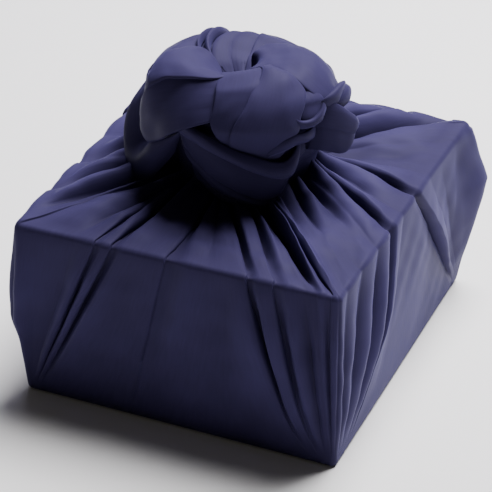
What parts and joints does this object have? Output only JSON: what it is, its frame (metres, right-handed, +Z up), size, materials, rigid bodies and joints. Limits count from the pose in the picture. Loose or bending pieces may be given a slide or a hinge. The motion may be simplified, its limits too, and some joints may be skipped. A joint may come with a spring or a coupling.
{
  "type": "cloth gift wrap",
  "caption": "Square cloth wrapped over a box-shaped bundle, its folds fanning from the bottom corners and gathered over the top into a woven crown knot.",
  "frame": {"origin": "centre of the flat underside, on the surface the wrap stands on", "axes": "+Z up through the knot; X along the shorter sides, with the front of the picture facing -Y; Y along the longer sides"},
  "size_m": [0.2539, 0.2791, 0.2366],
  "materials": {
    "cloth": "soft plain weave with a faint satin sheen"
  },
  "bodies": {
    "root": {"wrap_cloth": "cloth"}
  },
  "joints": []
}
